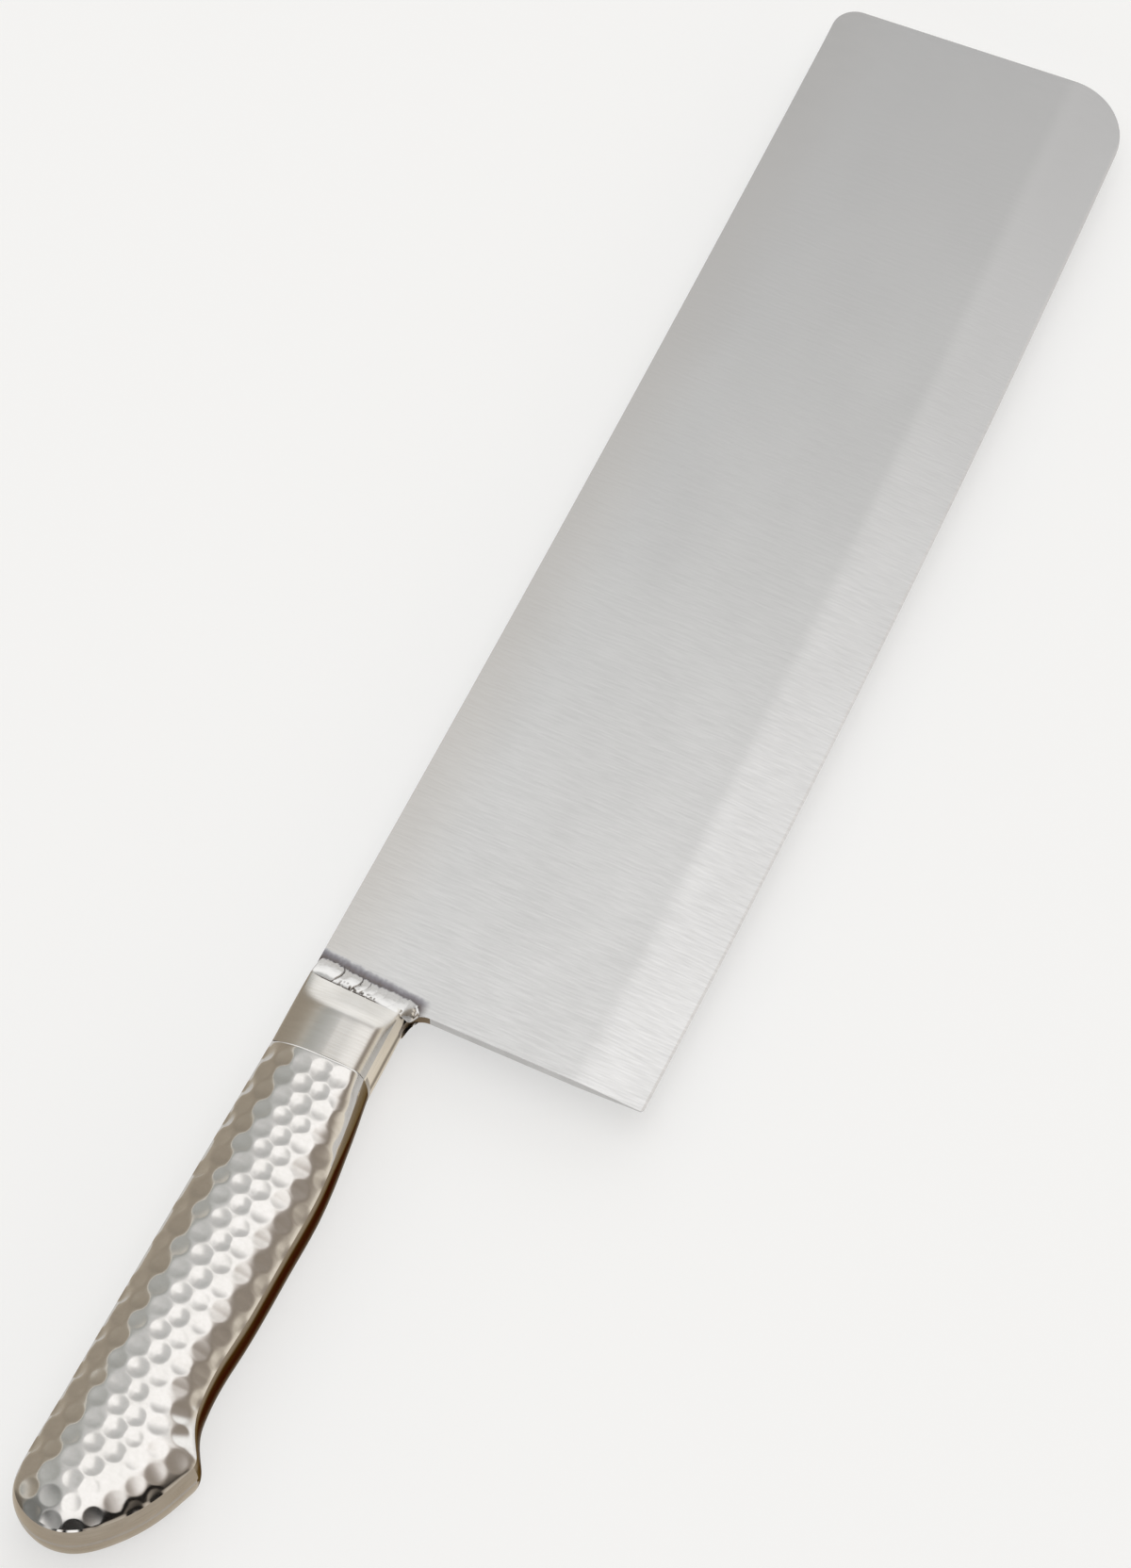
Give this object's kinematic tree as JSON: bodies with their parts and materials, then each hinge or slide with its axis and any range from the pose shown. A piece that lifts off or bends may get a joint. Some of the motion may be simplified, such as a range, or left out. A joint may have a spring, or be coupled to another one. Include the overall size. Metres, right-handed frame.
{
  "type": "kitchen knife",
  "caption": "Kitchen knife with a wide rectangular blade ground on both sides, a welded neck and a hollow all-steel handle with a hammered grip and a hooked butt.",
  "frame": {"origin": "centre of the bottom of the bounding box, under the handle's left face, with the knife lying on its left side", "axes": "+X along the knife from butt to front end, +Y from the cutting edge to the spine, +Z out of the blade's right face"},
  "size_m": [0.3742, 0.0726, 0.0176],
  "materials": {
    "blade": "fine satin, brushed from spine to edge",
    "bolster": "satin",
    "shell": "polished, hammered",
    "ground_weld": "ground flush and satin polished",
    "weld_bead": "raw weld with heat tint"
  },
  "bodies": {
    "root": {"blade": "blade", "bolster": "bolster", "handle_shell_right": "shell", "handle_shell_left": "shell", "seam_weld": "ground_weld", "joint_welds": "ground_weld", "blade_weld_right": "weld_bead", "blade_weld_left": "weld_bead"}
  },
  "joints": []
}
